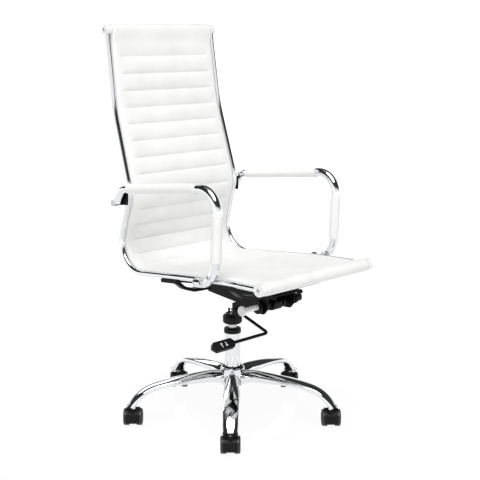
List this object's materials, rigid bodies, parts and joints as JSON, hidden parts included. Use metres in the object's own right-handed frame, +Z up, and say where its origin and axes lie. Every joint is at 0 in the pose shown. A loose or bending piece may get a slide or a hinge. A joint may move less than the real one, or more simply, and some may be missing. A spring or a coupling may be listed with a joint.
{
  "type": "swivel office chair",
  "caption": "High-back swivel chair: ribbed padded sling on bent chromed side rails, loop arms, tilt mechanism, gas column, star base and hooded casters.",
  "frame": {"origin": "on the floor, on the swivel axis", "axes": "+Z up, the chair faces -Y, +X is the sitter's left"},
  "size_m": [0.6699, 0.7177, 1.206],
  "materials": {
    "chrome": "polished chrome plate on steel",
    "black_steel": "satin black powder coat on pressed steel",
    "black_plastic": "moulded black nylon",
    "white_leather": "smooth white coated leather cloth",
    "white_sleeve": "smooth white sleeve",
    "bright_steel": "ground steel",
    "white_plastic": "white moulded plastic",
    "rubber": "black rubber",
    "wheel": "black nylon wheel"
  },
  "bodies": {
    "base": {"base_hub": "chrome", "hub_ring": "black_plastic", "base_leg_1": "chrome", "base_leg_2": "chrome", "base_leg_3": "chrome", "base_leg_4": "chrome", "base_leg_5": "chrome", "leg_end_plugs": "black_plastic", "caster_stems": "bright_steel", "column_tube": "chrome", "column_bush": "black_plastic"},
    "spindle": {"piston_rod": "bright_steel", "thrust_bearing": "bright_steel"},
    "mechanism": {"gas_cylinder": "bright_steel", "column_collar": "black_plastic", "mechanism_housing": "black_steel", "torsion_tube": "black_steel", "torsion_sleeve": "rubber", "torsion_shaft": "bright_steel", "tube_end_disc": "black_steel", "tube_far_cap": "white_plastic"},
    "valve": {"valve_pin": "bright_steel"},
    "tension_adjuster": {"tension_knob": "white_plastic", "tension_knob_shaft": "white_plastic"},
    "height_lever": {"height_lever_rod": "black_steel", "height_lever_paddle": "black_plastic"},
    "seat": {"seat_pan": "black_steel", "front_spreader": "black_steel", "rear_spreader": "black_steel", "side_flanges": "black_steel", "rail_right": "chrome", "rail_left": "chrome", "top_rod": "bright_steel", "front_rod": "bright_steel", "roll_end_caps": "white_plastic", "cap_screws": "bright_steel", "sling": "white_leather", "arm_tube_right": "chrome", "arm_tube_left": "chrome", "arm_sleeves_right": "white_sleeve", "arm_sleeves_left": "white_sleeve", "arm_foot_caps": "bright_steel", "arm_bolts": "bright_steel", "arm_gussets": "black_steel", "back_cross_bar": "black_steel", "cross_bar_caps": "bright_steel"},
    "tilt_lock": {"tilt_lock_rod": "black_steel", "tilt_lock_sleeve": "black_plastic"},
    "caster_1": {"caster_housing_1": "black_plastic"},
    "wheels_1": {"caster_wheels_1": "wheel"},
    "caster_2": {"caster_housing_2": "black_plastic"},
    "wheels_2": {"caster_wheels_2": "wheel"},
    "caster_3": {"caster_housing_3": "black_plastic"},
    "wheels_3": {"caster_wheels_3": "wheel"},
    "caster_4": {"caster_housing_4": "black_plastic"},
    "wheels_4": {"caster_wheels_4": "wheel"},
    "caster_5": {"caster_housing_5": "black_plastic"},
    "wheels_5": {"caster_wheels_5": "wheel"}
  },
  "joints": [
    {"name": "seat_swivel", "type": "hinge", "parent": "base", "child": "spindle", "pos_m": [0, 0, 0.2], "axis": [0, 0, 1], "continuous": true},
    {"name": "height_adjustment", "type": "slide", "parent": "spindle", "child": "mechanism", "axis": [0, 0, 1], "range_m": [-0.012, 0.08]},
    {"name": "seat_tilt", "type": "hinge", "parent": "mechanism", "child": "seat", "pos_m": [0, -0.173, 0.395], "axis": [-1, 0, 0], "range_deg": [0, 12], "stiffness_Nm_per_rad": 180, "springref_deg": -25.78},
    {"name": "height_lever_rock", "type": "hinge", "parent": "mechanism", "child": "height_lever", "pos_m": [0, -0.036, 0.355], "axis": [-1, 0, 0], "range_deg": [0, 4], "stiffness_Nm_per_rad": 10, "springref_deg": -11.46},
    {"name": "valve_press", "type": "slide", "parent": "mechanism", "child": "valve", "axis": [0, 0, -1], "range_m": [0, 0.0028]},
    {"name": "tension_turn", "type": "hinge", "parent": "mechanism", "child": "tension_adjuster", "pos_m": [0, -0.173, 0.395], "axis": [-1, 0, 0], "range_deg": [-360, 360]},
    {"name": "tilt_lock_slide", "type": "slide", "parent": "seat", "child": "tilt_lock", "axis": [-0.5, 0.866, 0], "range_m": [0, 0.012]},
    {"name": "caster_swivel_1", "type": "hinge", "parent": "base", "child": "caster_1", "pos_m": [-0.22759, -0.2221, 0.05], "axis": [0, 0, 1], "continuous": true},
    {"name": "wheel_turn_1", "type": "hinge", "parent": "caster_1", "child": "wheels_1", "pos_m": [-0.21778, -0.21211, 0.026], "axis": [0.7133, -0.7009, 0], "continuous": true},
    {"name": "caster_swivel_2", "type": "hinge", "parent": "base", "child": "caster_2", "pos_m": [0.1409, -0.28508, 0.05], "axis": [0, 0, 1], "continuous": true},
    {"name": "wheel_turn_2", "type": "hinge", "parent": "caster_2", "child": "wheels_2", "pos_m": [0.15071, -0.2751, 0.026], "axis": [0.7133, -0.7009, 0], "continuous": true},
    {"name": "caster_swivel_3", "type": "hinge", "parent": "base", "child": "caster_3", "pos_m": [0.31467, 0.04591, 0.05], "axis": [0, 0, 1], "continuous": true},
    {"name": "wheel_turn_3", "type": "hinge", "parent": "caster_3", "child": "wheels_3", "pos_m": [0.32448, 0.05589, 0.026], "axis": [0.7133, -0.7009, 0], "continuous": true},
    {"name": "caster_swivel_4", "type": "hinge", "parent": "base", "child": "caster_4", "pos_m": [0.05358, 0.31345, 0.05], "axis": [0, 0, 1], "continuous": true},
    {"name": "wheel_turn_4", "type": "hinge", "parent": "caster_4", "child": "wheels_4", "pos_m": [0.06339, 0.32344, 0.026], "axis": [0.7133, -0.7009, 0], "continuous": true},
    {"name": "caster_swivel_5", "type": "hinge", "parent": "base", "child": "caster_5", "pos_m": [-0.28155, 0.14782, 0.05], "axis": [0, 0, 1], "continuous": true},
    {"name": "wheel_turn_5", "type": "hinge", "parent": "caster_5", "child": "wheels_5", "pos_m": [-0.27174, 0.15781, 0.026], "axis": [0.7133, -0.7009, 0], "continuous": true}
  ],
  "couplings": [
    {"joint": "valve_press", "follows": "height_lever_rock", "m_per_rad": 0.037}
  ]
}
